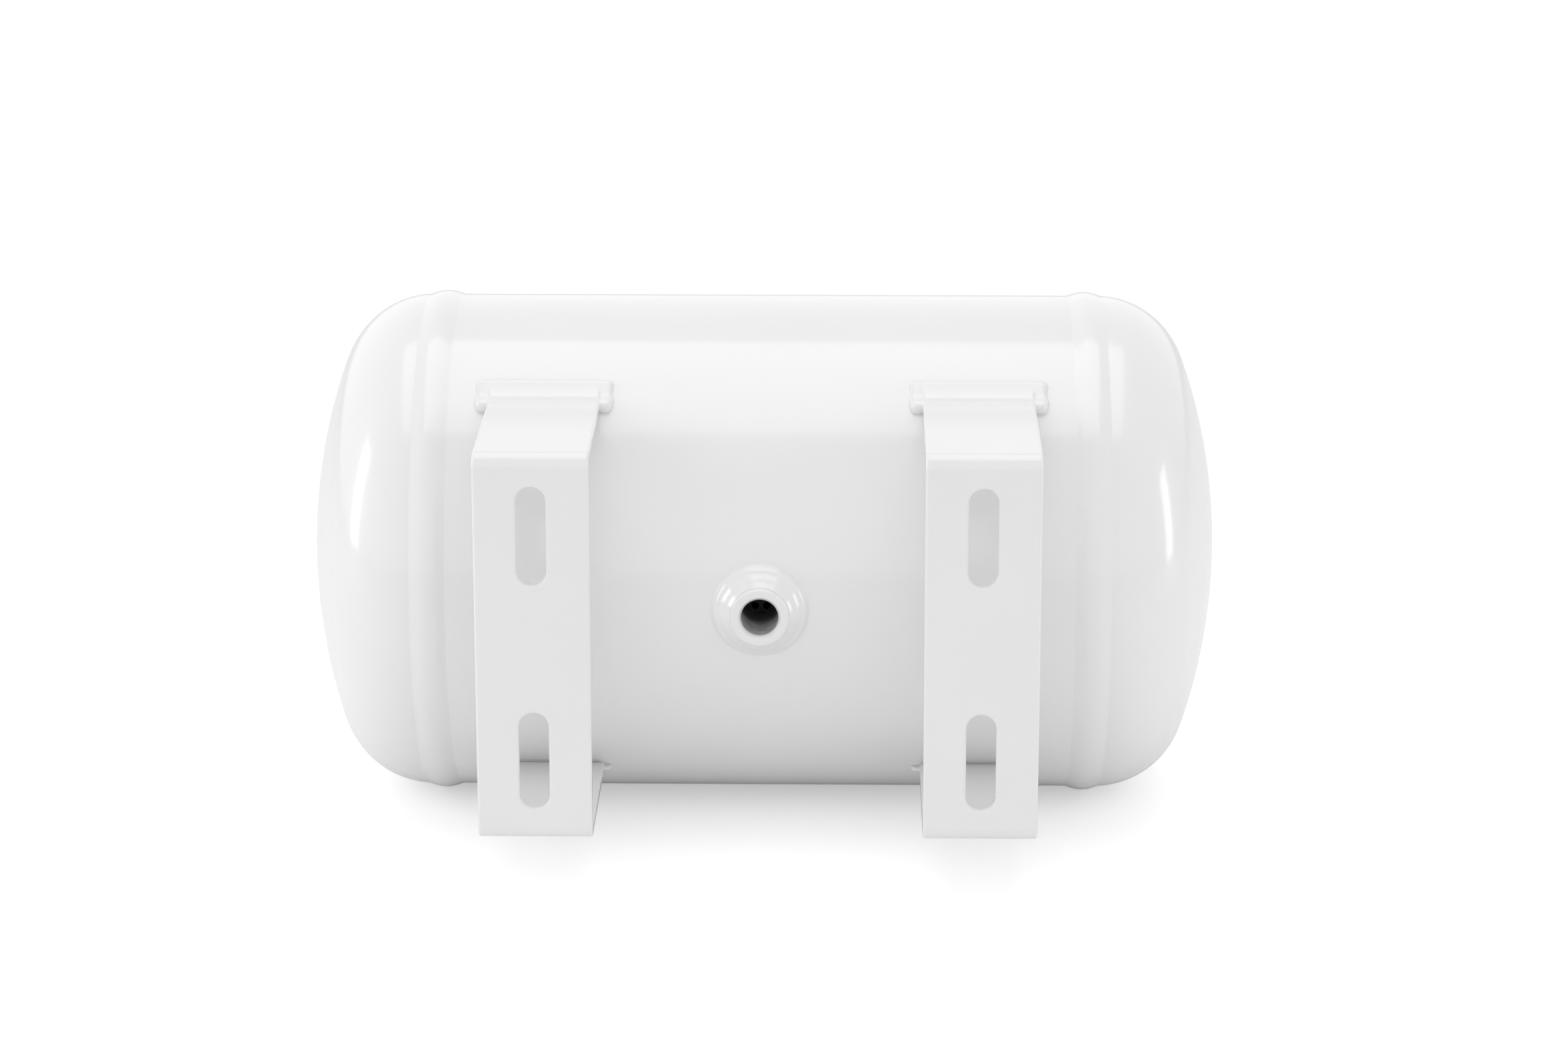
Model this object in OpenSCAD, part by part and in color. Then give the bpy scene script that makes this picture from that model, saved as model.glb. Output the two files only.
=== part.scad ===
// Expansion vessel: a horizontal welded steel cylinder on two U-shaped wall brackets, with
// a threaded water socket at the front, a charging valve at the back and a rubber bladder inside.
//
// Millimetres, +Z up, +X along the vessel's axis, +Y away from the wall.
// The origin is the middle of the four bracket slots, in the plane of the brackets' wall faces.

/* [Vessel] */
// Outer diameter of the cylinder and of the heads' edges
vessel_d = 160; // [120:1:220]
// Thickness of the shell and head sheet
wall_t = 2; // [1.2:0.1:4]
// Distance from the middle of the vessel to the middle of each circumferential weld
seam_x = 103.4; // [60:0.1:250]
// Distance from the wall plane to the vessel's axis
axis_y = 120; // [100:1:180]

/* [Heads] */
// Straight length of the head between its weld and the start of its curve
flange_l = 4.2; // [2:0.1:20]
// Outer radius of the curve from the side into the dished end
knuckle_r = 29; // [12:0.1:40]
// Outer radius of the dished end
crown_r = 178; // [100:0.1:260]
// Length of the stepped-in lip that backs the weld inside the shell
lip_l = 8; // [4:0.5:15]

/* [Welds] */
// Width of the circumferential beads
seam_w = 10.5; // [5:0.1:14]
// Height of the circumferential beads above the sheet
seam_h = 1.3; // [0.5:0.1:3]
// Gap between shell and head that the weld fills
root_gap = 1.5; // [0.5:0.1:3]
// Width of the shell's lengthwise bead
long_w = 5; // [3:0.1:8]
// Height of the shell's lengthwise bead
long_h = 0.6; // [0.3:0.1:1.5]
// Position of the lengthwise bead round the shell, from straight back towards the bottom
long_a = 40; // [0:1:90]

/* [Brackets] */
// Distance between the middles of the two brackets
bracket_pitch = 135.6; // [80:0.1:180]
// Width of the bracket strip
strip_w = 35; // [20:0.5:60]
// Thickness of the bracket strip
strip_t = 3; // [2:0.1:6]
// Height of a bracket over its two arms
bracket_h = 122; // [80:1:150]
// Outer radius of the strip's bends
bend_r = 4.5; // [3.5:0.1:10]
// Distance from the middle of the upper slot to the middle of the lower slot
slot_pitch = 71; // [40:0.5:100]
// Width of a slot
slot_w = 9; // [5:0.1:14]
// Length of a slot from end to end
slot_l = 30.5; // [12:0.5:40]

/* [Bracket welds] */
// Distance that a weld reaches past the strip's edge on each side
weld_over = 3.6; // [1:0.1:6]
// Distance that a weld reaches along the arm from its end
weld_reach = 3.1; // [1:0.1:6]

/* [Water socket] */
// Outer diameter of the socket
socket_d = 18.3; // [16:0.1:30]
// Distance that the socket stands out of the shell
socket_out = 6.9; // [4:0.1:20]
// Whole length of the socket
socket_l = 25; // [18:0.5:40]
// Diameter of the threaded bore at the tips of the thread
bore_d = 11.6; // [8:0.05:20]
// Depth of the chamfer at the bore's mouth
bore_chamfer = 0.7; // [0.3:0.1:2]
// Outer diameter of the weld round the socket
socket_weld_d = 30; // [24:0.5:40]

/* [Bladder] */
// Outer diameter of the rubber bag
bag_d = 108; // [60:1:140]
// Length of the rubber bag
bag_l = 228; // [120:1:250]
// Thickness of the rubber
bag_t = 2; // [1.5:0.1:4]
// Distance from the wall plane to the free edge of the bag's neck
neck_y = 45; // [43.5:0.5:50]

/* [Charging valve] */
// Diameter of the welded boss
boss_d = 16; // [12:0.5:24]
// Distance that the boss stands out of the shell
boss_out = 5; // [3:0.5:12]
// Outer diameter of the weld round the boss
boss_weld_d = 24; // [20:0.5:32]
// Diameter of the threaded valve neck that the cap screws on
neck_d = 7.7; // [7:0.05:8]
// Length of the valve from the boss's face to the end of its neck
valve_l = 17; // [12:0.5:30]
// Width across the flats of the valve's hexagon
hex_af = 12; // [10:0.5:16]
// Diameter of the valve cap
cap_d = 10.6; // [9.5:0.1:14]
// Distance that the valve pin can be pushed in
pin_travel = 1.2; // [0.5:0.1:2]

/* [Hidden] */
$fn = 96;

paint = [0.93, 0.93, 0.93];
butyl = [0.08, 0.08, 0.09];
brass = [0.78, 0.62, 0.32];
steel = [0.66, 0.67, 0.69];
plastic = [0.07, 0.07, 0.08];

far = 300;
vessel_r = vessel_d / 2;
inner_r = vessel_r - wall_t;
root_half = root_gap / 2;
shell_half = seam_x - root_half;
lip_fit = 0.05;
skirt_x = flange_l - 1;

arm_z = bracket_h / 2;
arm_in_z = arm_z - strip_t;
// The strip's square end stops where its inner face meets the shell.
arm_end_y = axis_y - sqrt(vessel_r * vessel_r - arm_in_z * arm_in_z) - 0.1;
// The weld over an arm's end: its edge on the arm, its edge on the shell and its bulge.
toe_y = arm_end_y - weld_reach;
toe_shell_z = arm_z + 3.7;
toe_shell_y = axis_y - sqrt(vessel_r * vessel_r - toe_shell_z * toe_shell_z);
weld_bulge = 1;

socket_r = socket_d / 2;
socket_y = axis_y - vessel_r - socket_out;
socket_end_y = socket_y + socket_l;
spigot_r = socket_r - 0.35;
spigot_y = socket_y + socket_out + 4;
bore_r = bore_d / 2;
sieve_r = bore_r + 1.2;
sieve_t = 1.5;
bag_neck_r = spigot_r + bag_t + 0.1;

back_y = axis_y + vessel_r;
boss_r = boss_d / 2;
boss_y = back_y + boss_out;
boss_in_y = back_y - 8;
tail_r = 4.25;
gasket_t = 1.2;
gasket_r = 6;
hex_y = boss_y + gasket_t;
hex_h = 4;
neck_end_y = boss_y + valve_l;
valve_bore_r = 2.6;
core_y = neck_end_y - 14;
core_end_y = neck_end_y - 3;
core_floor_t = 1.5;
chamber_r = 1.6;
pin_r = 0.5;
pin_tip_y = core_end_y + pin_travel + 1.5;
collar_y = core_y + 8.4;
collar_t = 0.7;
seal_t = 1.2;
coil_r = 1.15;
wire_r = 0.17;
coil_turns = 6;
cap_bore_r = neck_d / 2 + 0.08;
cap_y = hex_y + hex_h + 1;
cap_seal_t = 1;
cap_end_y = neck_end_y + cap_seal_t + 2.2;
cap_ribs = 18;

// Turns a profile of [radius, x] about the vessel's axis.
module round_x() {
    translate([0, axis_y, 0]) rotate([0, 90, 0]) rotate_extrude() children();
}

// Turns a profile of [radius, y] about the line through the socket and the valve.
module round_y() {
    rotate([-90, 0, 0]) rotate_extrude() children();
}

// Extrudes a profile of [y, z] along X, centred.
module along_x(length) {
    translate([-length / 2, 0, 0]) rotate([90, 0, 90]) linear_extrude(length) children();
}

// A solid bar on the socket and valve line, from one y to another.
module bar_y(r, y0, y1) {
    translate([0, y0, 0]) rotate([-90, 0, 0]) cylinder(h = y1 - y0, r = r);
}

// The space inside the outer face of the shell, made long.
module shell_space() {
    translate([-far / 2, axis_y, 0]) rotate([0, 90, 0]) cylinder(h = far, r = vessel_r, $fn = 360);
}

// Solid dished end as a profile of [radius, x], x counted from the circumferential weld.
module dish_2d(edge_r, knuckle, crown) {
    turn_r = edge_r - knuckle;
    crown_x = flange_l - sqrt(pow(crown - knuckle, 2) - turn_r * turn_r);
    meet_r = turn_r * crown / (crown - knuckle);
    translate([0, skirt_x]) square([edge_r, flange_l - skirt_x]);
    intersection() {
        translate([0, crown_x]) circle(crown);
        translate([0, flange_l]) square([meet_r, crown]);
    }
    intersection() {
        translate([turn_r, flange_l]) circle(knuckle);
        translate([meet_r, flange_l]) square([knuckle, knuckle]);
    }
}

// The straight edge of a head, stepped in under the shell as the lip.
module lip_2d() {
    lip_r = inner_r - lip_fit;
    polygon([[vessel_r, skirt_x], [vessel_r, root_half], [lip_r, 0], [lip_r, -lip_l],
        [lip_r - wall_t, -lip_l], [lip_r - wall_t, root_half], [inner_r, skirt_x - 0.5],
        [inner_r, skirt_x]]);
}

module head() {
    round_x() translate([0, seam_x]) difference() {
        dish_2d(vessel_r, knuckle_r, crown_r);
        dish_2d(inner_r, knuckle_r - wall_t, crown_r - wall_t);
    }
    round_x() translate([0, seam_x]) lip_2d();
}

module seam_2d() {
    arc_r = (seam_w * seam_w / 4 + seam_h * seam_h) / (2 * seam_h);
    intersection() {
        translate([vessel_r + seam_h - arc_r, 0]) circle(arc_r);
        translate([vessel_r, -seam_w]) square([seam_w, 2 * seam_w]);
    }
    polygon([[inner_r, -root_half], [vessel_r, -root_half], [vessel_r, root_half], [inner_r, 0]]);
}

module seam_weld() {
    round_x() translate([0, seam_x]) seam_2d();
}

// Turns from the wall side of the vessel's axis to the lengthwise bead.
module at_long_seam() {
    translate([0, axis_y, 0]) rotate([-long_a, 0, 0]) children();
}

module slot() {
    half = (slot_l - slot_w) / 2;
    for (side = [-1, 1])
        translate([0, 0, side * half]) bar_y(slot_w / 2, -1, strip_t + 1);
    translate([-slot_w / 2, -1, -half]) cube([slot_w, strip_t + 2, 2 * half]);
}

// A quarter of the bend at the top of the bracket, and its mirror at the bottom.
module bend_2d() {
    intersection() {
        difference() {
            translate([bend_r, arm_z - bend_r]) circle(bend_r);
            translate([bend_r, arm_z - bend_r]) circle(bend_r - strip_t);
        }
        translate([0, arm_z - bend_r]) square(bend_r);
    }
}

module bracket_2d() {
    translate([0, bend_r - arm_z]) square([strip_t, bracket_h - 2 * bend_r]);
    for (side = [0, 1]) mirror([0, side]) {
        bend_2d();
        translate([bend_r, arm_in_z]) square([arm_end_y - bend_r, strip_t]);
    }
}

module bracket() {
    difference() {
        along_x(strip_w) bracket_2d();
        for (side = [-1, 1]) translate([0, 0, side * slot_pitch / 2]) slot();
    }
}

// The rounded outline of an arm's weld, seen from above.
module weld_plan_2d() {
    half = strip_w / 2 + weld_over;
    corner = 4;
    y0 = toe_y - 1;
    y1 = toe_shell_y + 2;
    translate([corner - half, y0]) square([2 * (half - corner), y1 - y0]);
    translate([-half, y0 + corner]) square([2 * half, y1 - y0 - 2 * corner]);
    for (side = [-1, 1], end = [y0 + corner, y1 - corner])
        translate([side * (half - corner), end]) circle(corner);
}

// Weld metal between the end of the upper arm and the shell.
module arm_weld() {
    run = [toe_shell_y - toe_y, toe_shell_z - arm_z];
    chord = norm(run);
    arc_r = (chord * chord / 4 + weld_bulge * weld_bulge) / (2 * weld_bulge);
    sink = arc_r - weld_bulge;
    mid = [toe_y + run[0] / 2 + run[1] / chord * sink, arm_z + run[1] / 2 - run[0] / chord * sink];
    difference() {
        intersection() {
            along_x(strip_w + 2 * weld_over) intersection() {
                translate(mid) circle(arc_r);
                translate([toe_y - 1, arm_in_z - 0.6]) square([toe_shell_y - toe_y + 2, 10]);
            }
            translate([0, 0, arm_in_z - 2]) linear_extrude(12) weld_plan_2d();
        }
        shell_space();
        translate([-strip_w / 2, 0, 0]) cube([strip_w, arm_end_y, arm_z]);
    }
}

module left() {
    translate([-bracket_pitch / 2, 0, 0]) children();
}

module right() {
    translate([bracket_pitch / 2, 0, 0]) children();
}

module shell() {
    color(paint) difference() {
        round_x() translate([inner_r, -shell_half]) square([wall_t, 2 * shell_half]);
        bar_y(socket_r + 0.05, axis_y - vessel_r - 5, axis_y - vessel_r + 12);
        bar_y(boss_r + 0.05, back_y - 12, back_y + 5);
        at_long_seam() translate([-far / 2, inner_r - 5, -root_half]) cube([far, 10, root_gap]);
    }
}

module left_head() {
    color(paint) mirror([1, 0, 0]) head();
}

module right_head() {
    color(paint) head();
}

module left_seam_weld() {
    color(paint) mirror([1, 0, 0]) seam_weld();
}

module right_seam_weld() {
    color(paint) seam_weld();
}

module longitudinal_weld() {
    arc_r = (long_w * long_w / 4 + long_h * long_h) / (2 * long_h);
    cap_l = 2 * (seam_x - seam_w / 2);
    color(paint) {
        difference() {
            at_long_seam() along_x(cap_l) translate([vessel_r + long_h - arc_r, 0]) circle(arc_r);
            shell_space();
        }
        intersection() {
            at_long_seam() translate([-shell_half, inner_r - 5, -root_half])
                cube([2 * shell_half, 10, root_gap]);
            round_x() translate([inner_r, -shell_half]) square([wall_t, 2 * shell_half]);
        }
    }
}

module left_bracket() {
    color(paint) left() bracket();
}

module right_bracket() {
    color(paint) right() bracket();
}

module left_bracket_top_weld() {
    color(paint) left() arm_weld();
}

module left_bracket_bottom_weld() {
    color(paint) left() mirror([0, 0, 1]) arm_weld();
}

module right_bracket_top_weld() {
    color(paint) right() arm_weld();
}

module right_bracket_bottom_weld() {
    color(paint) right() mirror([0, 0, 1]) arm_weld();
}

module water_socket() {
    color(paint) round_y() difference() {
        union() {
            translate([0, socket_y]) square([socket_r, spigot_y - socket_y]);
            translate([0, spigot_y]) square([spigot_r, socket_end_y - spigot_y]);
        }
        translate([0, socket_y - 1]) square([bore_r, socket_l + 2]);
        translate([0, socket_end_y - sieve_t]) square([sieve_r, sieve_t + 1]);
        polygon([[0, socket_y - 0.01], [bore_r + bore_chamfer, socket_y - 0.01],
            [bore_r, socket_y + bore_chamfer], [0, socket_y + bore_chamfer]]);
    }
}

// Two rings of weld side by side, from the socket's side down to the shell.
module water_socket_weld() {
    front_y = axis_y - vessel_r;
    outer_r = socket_weld_d / 2;
    color(paint) difference() {
        round_y() {
            translate([socket_r + 1.3, front_y - 1]) circle(2.1);
            translate([outer_r - 2.2, front_y + 0.6]) circle(2.2);
            translate([socket_r, front_y]) square([outer_r - 0.6 - socket_r, 3]);
        }
        shell_space();
        bar_y(socket_r, socket_y - 5, front_y + 10);
    }
}

module inlet_strainer() {
    hole_ring = 3.6;
    hole_r = 1.2;
    color(plastic) difference() {
        bar_y(sieve_r - 0.05, socket_end_y - sieve_t, socket_end_y);
        bar_y(hole_r, socket_end_y - sieve_t - 1, socket_end_y + 1);
        for (turn = [0:60:300]) rotate([0, turn, 0]) translate([hole_ring, 0, 0])
            bar_y(hole_r, socket_end_y - sieve_t - 1, socket_end_y + 1);
    }
}

// A capsule along the vessel's axis, with the neck's cylinder on its front.
module bag_solid(r, half_l, neck_r, neck_from) {
    round_x() intersection() {
        union() {
            translate([0, r - half_l]) square([r, 2 * (half_l - r)]);
            for (side = [-1, 1]) translate([0, side * (half_l - r)]) circle(r);
        }
        translate([0, -half_l]) square([r, 2 * half_l]);
    }
    bar_y(neck_r, neck_from, axis_y - r + 10);
}

module bladder() {
    color(butyl) difference() {
        bag_solid(bag_d / 2, bag_l / 2, bag_neck_r, neck_y);
        bag_solid(bag_d / 2 - bag_t, bag_l / 2 - bag_t, spigot_r + 0.05, neck_y - 1);
    }
}

module bladder_neck_ring() {
    color(steel) round_y() translate([bag_neck_r + 0.05, neck_y + 2]) square([1.4, 6]);
}

module valve_boss() {
    color(paint) round_y() translate([tail_r + 0.05, boss_in_y])
        square([boss_r - tail_r - 0.05, boss_y - boss_in_y]);
}

module valve_boss_weld() {
    outer_r = boss_weld_d / 2;
    color(paint) difference() {
        round_y() {
            translate([boss_r + 0.9, back_y + 0.4]) circle(2);
            translate([boss_r, back_y - 3]) square([outer_r - 1.5 - boss_r, 3.6]);
            translate([outer_r - 1.8, back_y - 1]) circle(1.8);
        }
        shell_space();
        bar_y(boss_r, back_y - 8, back_y + 8);
    }
}

module valve_gasket() {
    color(butyl) round_y() translate([tail_r + 0.05, boss_y])
        square([gasket_r - tail_r - 0.05, gasket_t]);
}

module valve_stem() {
    color(brass) difference() {
        union() {
            bar_y(tail_r, boss_in_y + 2, hex_y);
            translate([0, hex_y, 0]) rotate([-90, 0, 0])
                cylinder(h = hex_h, r = hex_af / sqrt(3), $fn = 6);
            bar_y(neck_d / 2, hex_y + hex_h, neck_end_y);
        }
        bar_y(valve_bore_r, boss_in_y, neck_end_y + 1);
    }
}

module valve_core_body() {
    color(brass) round_y() difference() {
        translate([0, core_y]) square([valve_bore_r - 0.05, core_end_y - core_y]);
        translate([0, core_y - 1]) square([pin_r + 0.08, core_end_y - core_y + 2]);
        translate([0, core_y + core_floor_t]) square([chamber_r, core_end_y - core_y]);
    }
}

module valve_core_pin() {
    color(brass) round_y() {
        translate([0, core_y - seal_t]) square([pin_r, pin_tip_y - core_y + seal_t]);
        translate([0, collar_y]) square([chamber_r - 0.35, collar_t]);
    }
}

// A coil of round wire with flat ends. A level cut through it has a curved oval outline, which
// the twisted extrusion carries up the coil.
module valve_core_spring() {
    low = core_y + core_floor_t;
    length = collar_y - low;
    turn_per_mm = 360 * coil_turns / length;
    outline = [for (a = [0:30:330])
        let (r = coil_r + wire_r * cos(a), turn = turn_per_mm * wire_r * sin(a))
        [r * cos(turn), r * sin(turn)]];
    color(steel) translate([0, low, 0]) rotate([-90, 0, 0])
        linear_extrude(length, twist = 360 * coil_turns, slices = 16 * coil_turns, $fn = 8)
            polygon(outline);
}

module valve_core_seal() {
    color(butyl) round_y() translate([pin_r, core_y - seal_t]) square([1.4, seal_t]);
}

module valve_cap() {
    color(plastic) difference() {
        bar_y(cap_d / 2, cap_y, cap_end_y);
        bar_y(cap_bore_r, cap_y - 1, neck_end_y + cap_seal_t);
        for (rib = [0:cap_ribs - 1]) rotate([0, rib * 360 / cap_ribs, 0])
            translate([cap_d / 2 + 0.1, 0, 0]) bar_y(0.5, cap_y + 1, cap_end_y + 1);
    }
}

module valve_cap_seal() {
    color(butyl) bar_y(neck_d / 2 - 0.2, neck_end_y, neck_end_y + cap_seal_t);
}

shell();
left_head();
right_head();
left_seam_weld();
right_seam_weld();
longitudinal_weld();
left_bracket();
right_bracket();
left_bracket_top_weld();
left_bracket_bottom_weld();
right_bracket_top_weld();
right_bracket_bottom_weld();
water_socket();
water_socket_weld();
inlet_strainer();
bladder();
bladder_neck_ring();
valve_boss();
valve_boss_weld();
valve_gasket();
valve_stem();
valve_core_body();
valve_core_pin();
valve_core_spring();
valve_core_seal();
valve_cap();
valve_cap_seal();
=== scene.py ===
"""The looks of a horizontal expansion vessel: thick glossy white paint over welded steel."""

import math
import bmesh
import bpy
import numpy as np
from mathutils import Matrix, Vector


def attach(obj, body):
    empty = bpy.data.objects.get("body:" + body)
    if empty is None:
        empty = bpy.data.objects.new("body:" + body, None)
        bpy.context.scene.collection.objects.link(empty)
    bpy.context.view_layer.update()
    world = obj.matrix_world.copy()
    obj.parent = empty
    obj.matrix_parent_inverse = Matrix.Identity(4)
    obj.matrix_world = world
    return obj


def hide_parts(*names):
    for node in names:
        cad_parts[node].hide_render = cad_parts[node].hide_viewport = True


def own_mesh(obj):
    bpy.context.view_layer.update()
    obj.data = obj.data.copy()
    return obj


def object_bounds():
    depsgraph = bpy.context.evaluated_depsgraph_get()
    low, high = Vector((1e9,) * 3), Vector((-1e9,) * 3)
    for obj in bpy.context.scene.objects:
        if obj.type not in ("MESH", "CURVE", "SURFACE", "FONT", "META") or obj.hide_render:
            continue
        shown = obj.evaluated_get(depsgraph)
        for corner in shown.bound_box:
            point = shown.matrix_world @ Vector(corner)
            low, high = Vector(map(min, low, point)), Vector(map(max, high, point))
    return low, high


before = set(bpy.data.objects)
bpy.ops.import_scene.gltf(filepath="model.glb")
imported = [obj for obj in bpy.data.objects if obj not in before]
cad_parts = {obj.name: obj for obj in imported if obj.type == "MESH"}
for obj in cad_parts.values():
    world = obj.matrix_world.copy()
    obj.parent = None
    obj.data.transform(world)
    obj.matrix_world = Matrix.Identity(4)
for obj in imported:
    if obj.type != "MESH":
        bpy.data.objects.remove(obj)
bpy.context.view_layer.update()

MM = 0.001

# ---------------------------------------------------------------- sizes, in millimetres

# X is along the vessel from its middle, Y away from the plane of the wall, and Z up from the vessel's axis

AXIS_Y = 120.0
VESSEL_R = 80.0
WALL = 2.0
FIT = 0.05  # the gap between pieces that fit in each other
SEAM_X = 103.4
ROOT_GAP = 1.5

HEAD_FLANGE = 4.2
HEAD_KNUCKLE_R = 29.0
HEAD_CROWN_R = 178.0
LIP_LENGTH = 8.0
LIP_BEND = 2.7

SEAM_WIDTH = 10.5
SEAM_HEIGHT = 1.3
LONG_SEAM_WIDTH = 5.0
LONG_SEAM_HEIGHT = 0.6
LONG_SEAM_ANGLE = math.radians(-40)

BRACKET_X = 67.8
STRIP_WIDTH = 35.0
STRIP_T = 3.0
BRACKET_HEIGHT = 122.0
BEND_R = 4.5
SLOT_PITCH = 71.0
SLOT_WIDTH = 9.0
SLOT_LENGTH = 30.5
EDGE_ROUND = 0.9
ARM_WELD_RISE = 4.4
ARM_WELD_TOE = 4.4
LOBE_END = 2.3
WELD_VOXEL = 0.35
WELD_EASE = 18

SOCKET_R = 9.15
SOCKET_FACE_Y = 33.1
SOCKET_LENGTH = 25.0
SOCKET_STEP_Y = 44.0
BORE_R = 5.8
THREAD_DEPTH = 0.72
THREAD_PITCH = 1.337
THREAD_TURNS = 9
SOCKET_WELD_R = 15.0
SOCKET_WELD_HEIGHTS = (6.0, 5.6, 5.1, 4.65, 4.3, 4.0, 3.6, 3.1, 2.6, 2.4, 2.2, 1.75, 1.0, 0.0)

BOSS_R = 8.0
BOSS_INNER_Y = 192.0
BOSS_FACE_Y = 205.0
BOSS_WELD_R = 12.0
BOSS_WELD_HEIGHTS = (2.2, 2.0, 1.8, 1.5, 1.1, 0.6, 0.0)
HEX_AF = 12.0
HEX_HEIGHT = 4.0
GASKET_R = 6.0
GASKET_T = 1.2
NECK_R = 3.85
NECK_THREAD_DEPTH = 0.4
NECK_PITCH = 0.794
NECK_END_Y = 222.0
STEM_BORE_R = 2.6
TAIL_R = 4.25
TAIL_INNER_Y = 194.0
SPRING_LOW_Y = 209.5
SPRING_HIGH_Y = 216.4
COIL_R = 1.15
WIRE_R = 0.17
COIL_TURNS = 6
CAP_R = 5.3
CAP_BORE_R = 3.93
CAP_LOW_Y = 211.2
CAP_HIGH_Y = 225.2
CAP_RIBS = 18

BAG_R = 54.0
BAG_HALF = 114.0
BAG_T = 2.0


# ---------------------------------------------------------------- mesh helpers

JOIN_WITHIN = 1e-4
NEARLY_ZERO = 1e-5
BEVEL_ABOVE = math.radians(35)
SHARP_ABOVE = math.radians(50)


def add_mesh(name, vertices, faces):
    """A new object from points in millimetres, with doubled points joined and faces turned outwards."""
    mesh = bpy.data.meshes.new(name)
    mesh.from_pydata([tuple(v) for v in np.asarray(vertices) * MM], [], faces)
    work = bmesh.new()
    work.from_mesh(mesh)
    bmesh.ops.remove_doubles(work, verts=work.verts, dist=JOIN_WITHIN * MM)
    bmesh.ops.recalc_face_normals(work, faces=work.faces)
    work.to_mesh(mesh)
    work.free()
    mesh.shade_smooth()
    piece = bpy.data.objects.new(name, mesh)
    bpy.context.scene.collection.objects.link(piece)
    return piece


def grid_faces(rows, columns, close_rows, close_columns):
    """Quads over a grid of points, joined end to end where a direction closes on itself."""
    faces = []
    for i in range(rows if close_rows else rows - 1):
        below = (i + 1) % rows
        for j in range(columns if close_columns else columns - 1):
            beside = (j + 1) % columns
            faces.append((i * columns + j, i * columns + beside,
                          below * columns + beside, below * columns + j))
    return faces


def add_grid(name, points, close_rows=False, close_columns=False):
    """A new object from a grid of points, given as an array of rows, columns and x, y, z."""
    rows, columns, _ = points.shape
    return add_mesh(name, points.reshape(-1, 3), grid_faces(rows, columns, close_rows, close_columns))


def circle_angles(count):
    """Evenly spaced angles once round, without the repeated last one."""
    return np.linspace(0, 2 * math.pi, count, endpoint=False)


def rounded(corners, steps):
    """A closed outline whose corners (a, b, radius) are replaced by arcs of that radius."""
    outline = []
    count = len(corners)
    for i, (a, b, radius) in enumerate(corners):
        here = np.array([a, b], float)
        if radius <= 0:
            outline.append(here)
            continue
        back = np.array(corners[i - 1][:2], float) - here
        on = np.array(corners[(i + 1) % count][:2], float) - here
        back /= np.linalg.norm(back)
        on /= np.linalg.norm(on)
        half = math.acos(np.clip(back @ on, -1, 1)) / 2
        middle = here + (back + on) / np.linalg.norm(back + on) * radius / math.sin(half)
        start = here + back * radius / math.tan(half) - middle
        end = here + on * radius / math.tan(half) - middle
        turn = math.atan2(start[0] * end[1] - start[1] * end[0], start @ end)
        for t in np.linspace(0, turn, steps + 1):
            spin = np.array([[math.cos(t), -math.sin(t)], [math.sin(t), math.cos(t)]])
            outline.append(middle + spin @ start)
    return np.array(outline)


def about_vessel(radius, x, angle):
    """Points at a radius and x, turned about the vessel's axis: 0 is away from the wall, 90 degrees is up."""
    radius, x, angle = np.broadcast_arrays(radius, x, angle)
    return np.stack([x, AXIS_Y + radius * np.cos(angle), radius * np.sin(angle)], -1)


def about_socket(radius, y, angle):
    """Points at a radius and y, turned about the line through the socket and the valve."""
    radius, y, angle = np.broadcast_arrays(radius, y, angle)
    return np.stack([radius * np.cos(angle), y, radius * np.sin(angle)], -1)


def turned(name, outline, around, steps):
    """A closed outline of (radius, place along the axis) turned full circle."""
    outline = np.asarray(outline)
    angles = circle_angles(steps)
    points = around(outline[:, None, 0], outline[:, None, 1], angles[None, :])
    return add_grid(name, points, close_rows=True, close_columns=True)


def wobble(angle, seed, waves=7):
    """A smooth wandering value of about -1 to 1 that closes on itself after a full turn."""
    dice = np.random.default_rng(seed)
    value = np.zeros_like(angle, dtype=float)
    for k in range(1, waves + 1):
        value += dice.normal() / math.sqrt(waves) * np.cos((2 * k + 1) * angle + dice.uniform(0, 6.28))
    return np.clip(value, -1.5, 1.5) / 1.5


def apply_modifiers(piece):
    """Makes the piece's modifiers part of its mesh."""
    ready = piece.evaluated_get(bpy.context.evaluated_depsgraph_get())
    mesh = bpy.data.meshes.new_from_object(ready)
    piece.modifiers.clear()
    piece.data = mesh


def cut(piece, *tools):
    """Takes the tools' shapes out of the piece, and removes the tools."""
    for tool in tools:
        step = piece.modifiers.new("cut", "BOOLEAN")
        step.operation = "DIFFERENCE"
        step.solver = "EXACT"
        step.object = tool
    apply_modifiers(piece)
    for tool in tools:
        bpy.data.objects.remove(tool)


def soften(piece, width, steps):
    """Rounds the piece's sharp edges, and keeps its flat faces flat to the eye."""
    bevel = piece.modifiers.new("bevel", "BEVEL")
    bevel.width = width * MM
    bevel.segments = steps
    bevel.limit_method = "ANGLE"
    bevel.angle_limit = BEVEL_ABOVE
    bevel.use_clamp_overlap = True
    even = piece.modifiers.new("even", "WEIGHTED_NORMAL")
    even.keep_sharp = False
    apply_modifiers(piece)


def socket_bar(radius, y0, y1):
    """A plain bar on the socket's line, used only to cut with."""
    pole = 1e-3
    return turned("bar", [(pole, y0), (radius, y0), (radius, y1), (pole, y1)], about_socket, 96)


# ---------------------------------------------------------------- materials


def new_material(name, color, roughness, metallic=0.0):
    """A material with one shader, set to plain values that the textures then take over."""
    material = bpy.data.materials.new(name)
    material.use_nodes = True
    shader = material.node_tree.nodes["Principled BSDF"]
    shader.inputs["Base Color"].default_value = (*color, 1)
    shader.inputs["Roughness"].default_value = roughness
    shader.inputs["Metallic"].default_value = metallic
    return material


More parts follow.
